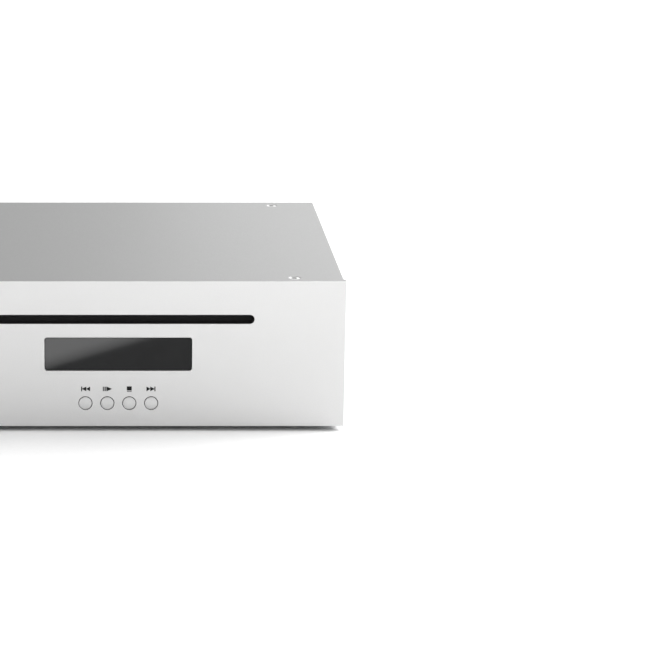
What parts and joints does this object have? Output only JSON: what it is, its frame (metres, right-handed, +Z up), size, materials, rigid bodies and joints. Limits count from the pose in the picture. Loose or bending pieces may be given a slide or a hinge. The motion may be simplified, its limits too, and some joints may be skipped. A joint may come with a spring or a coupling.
{
  "type": "slot-loading cd player",
  "caption": "Compact slot-loading cd player: aluminium front panel on a folded steel case, push buttons, rear sockets, and the disc loading, clamping and reading mechanism inside.",
  "frame": {"origin": "centre of the bounding box in plan, at the height the feet stand on", "axes": "+X to the right seen from the front, the front panel faces -Y, +Z up"},
  "size_m": [0.206, 0.2, 0.0701],
  "materials": {
    "panel_aluminium": "bead-blasted, natural anodised",
    "cover_aluminium": "satin, natural anodised",
    "galvanised_steel": "galvanised sheet",
    "steel": "satin",
    "bright_steel": "bright plated",
    "black_plastic": "fine matt",
    "white_plastic": "natural acetal",
    "rubber": "matt",
    "felt": "black felt",
    "smoked_window": "smoked, polished",
    "circuit_board": "solder mask"
  },
  "bodies": {
    "case": {"front_panel": "panel_aluminium", "top_cover": "cover_aluminium", "base_tray": "galvanised_steel", "rear_panel": "galvanised_steel", "transport_frame": "galvanised_steel", "load_motor": "steel", "cover_screw_1": "bright_steel", "cover_screw_2": "bright_steel", "cover_screw_3": "bright_steel", "cover_screw_4": "bright_steel", "shield_can": "bright_steel", "display_module": "black_plastic", "upper_guide": "black_plastic", "capacitor_1": "black_plastic", "capacitor_2": "black_plastic", "heat_sink": "black_plastic", "phono_left": "black_plastic", "phono_right": "black_plastic", "coax_out": "black_plastic", "optical_out": "black_plastic", "dc_inlet": "black_plastic", "switch_housing": "black_plastic", "ribbon_cable": "white_plastic", "foot_1": "rubber", "foot_2": "rubber", "foot_3": "rubber", "foot_4": "rubber", "damper_post_1": "rubber", "damper_post_2": "rubber", "damper_post_3": "rubber", "damper_post_4": "rubber", "dust_lip_upper": "felt", "dust_lip_lower": "felt", "display_window": "smoked_window", "button_board": "circuit_board", "main_board": "circuit_board"},
    "button_previous_body": {"button_previous": "panel_aluminium"},
    "button_play_body": {"button_play": "panel_aluminium"},
    "button_stop_body": {"button_stop": "panel_aluminium"},
    "button_next_body": {"button_next": "panel_aluminium"},
    "rocker_body": {"switch_rocker": "black_plastic"},
    "bracket_body": {"roller_bracket": "black_plastic"},
    "roller_body": {"load_roller": "rubber", "roller_gear": "white_plastic"},
    "idler_body": {"idler_gear": "white_plastic"},
    "load_pinion_body": {"load_pinion": "white_plastic"},
    "slider_body": {"cam_slider": "black_plastic"},
    "deck_body": {"traverse_deck": "galvanised_steel", "spindle_motor": "steel", "guide_rod_1": "bright_steel", "guide_rod_2": "bright_steel", "sled_motor": "steel"},
    "turntable_body": {"turntable": "black_plastic"},
    "sled_body": {"pickup_sled": "black_plastic"},
    "lens_body": {"objective_lens": "smoked_window"},
    "sled_gear_body": {"sled_gear": "white_plastic"},
    "sled_pinion_body": {"sled_pinion": "white_plastic"},
    "clamp_arm_body": {"clamp_arm": "galvanised_steel"},
    "clamper_body": {"clamper": "white_plastic"}
  },
  "joints": [
    {"name": "button_previous_press", "type": "slide", "parent": "case", "child": "button_previous_body", "axis": [0, 1, 0], "range_m": [0, 0.0006], "stiffness_N_per_m": 600},
    {"name": "button_play_press", "type": "slide", "parent": "case", "child": "button_play_body", "axis": [0, 1, 0], "range_m": [0, 0.0006], "stiffness_N_per_m": 600},
    {"name": "button_stop_press", "type": "slide", "parent": "case", "child": "button_stop_body", "axis": [0, 1, 0], "range_m": [0, 0.0006], "stiffness_N_per_m": 600},
    {"name": "button_next_press", "type": "slide", "parent": "case", "child": "button_next_body", "axis": [0, 1, 0], "range_m": [0, 0.0006], "stiffness_N_per_m": 600},
    {"name": "rocker_press", "type": "hinge", "parent": "case", "child": "rocker_body", "pos_m": [0.056, 0.092, 0.0221], "axis": [1, 0, 0], "range_deg": [0, 12]},
    {"name": "deck_lift", "type": "hinge", "parent": "case", "child": "deck_body", "pos_m": [0, 0.053, 0.0425], "axis": [-1, 0, 0], "range_deg": [0, 3]},
    {"name": "clamp_close", "type": "hinge", "parent": "case", "child": "clamp_arm_body", "pos_m": [0, 0.055, 0.0587], "axis": [1, 0, 0], "range_deg": [0, 3]},
    {"name": "bracket_drop", "type": "hinge", "parent": "case", "child": "bracket_body", "pos_m": [0, -0.068, 0.0478], "axis": [1, 0, 0], "range_deg": [0, 10.8]},
    {"name": "cam_travel", "type": "slide", "parent": "case", "child": "slider_body", "axis": [0, 1, 0], "range_m": [0, 0.008]},
    {"name": "load_roller_spin", "type": "hinge", "parent": "bracket_body", "child": "roller_body", "pos_m": [0, -0.084, 0.0478], "axis": [1, 0, 0], "continuous": true},
    {"name": "idler_spin", "type": "hinge", "parent": "case", "child": "idler_body", "pos_m": [-0.07325, -0.084, 0.0575], "axis": [1, 0, 0], "continuous": true},
    {"name": "load_pinion_spin", "type": "hinge", "parent": "case", "child": "load_pinion_body", "pos_m": [-0.07325, -0.0773, 0.06275], "axis": [1, 0, 0], "continuous": true},
    {"name": "turntable_spin", "type": "hinge", "parent": "deck_body", "child": "turntable_body", "pos_m": [0, -0.0183, 0.04637], "axis": [0, -0.0523, 0.9986], "continuous": true},
    {"name": "sled_travel", "type": "slide", "parent": "deck_body", "child": "sled_body", "axis": [0, 0.9986, 0.0523], "range_m": [0, 0.033]},
    {"name": "lens_focus", "type": "slide", "parent": "sled_body", "child": "lens_body", "axis": [0, -0.0523, 0.9986], "range_m": [-0.0002, 0.0006], "stiffness_N_per_m": 20},
    {"name": "sled_gear_turn", "type": "hinge", "parent": "deck_body", "child": "sled_gear_body", "pos_m": [0.0275, -0.00269, 0.03518], "axis": [0, -0.0523, 0.9986], "range_deg": [-394.5, 0]},
    {"name": "sled_pinion_turn", "type": "hinge", "parent": "deck_body", "child": "sled_pinion_body", "pos_m": [0.03385, -0.01352, 0.0316], "axis": [0, -0.0523, 0.9986], "range_deg": [0, 986]},
    {"name": "clamper_spin", "type": "hinge", "parent": "clamp_arm_body", "child": "clamper_body", "pos_m": [0, -0.01804, 0.05992], "axis": [0, 0.0523, 0.9986], "continuous": true}
  ],
  "couplings": [
    {"joint": "clamp_close", "follows": "deck_lift", "ratio": 1},
    {"joint": "bracket_drop", "follows": "deck_lift", "ratio": 3.6},
    {"joint": "cam_travel", "follows": "deck_lift", "m_per_rad": 0.15277},
    {"joint": "idler_spin", "follows": "load_roller_spin", "ratio": -1},
    {"joint": "load_pinion_spin", "follows": "load_roller_spin", "ratio": 1.3333},
    {"joint": "sled_gear_turn", "follows": "sled_travel", "rad_per_m": -208.33},
    {"joint": "sled_pinion_turn", "follows": "sled_travel", "rad_per_m": 520.83},
    {"joint": "clamper_spin", "follows": "turntable_spin", "ratio": 1}
  ]
}
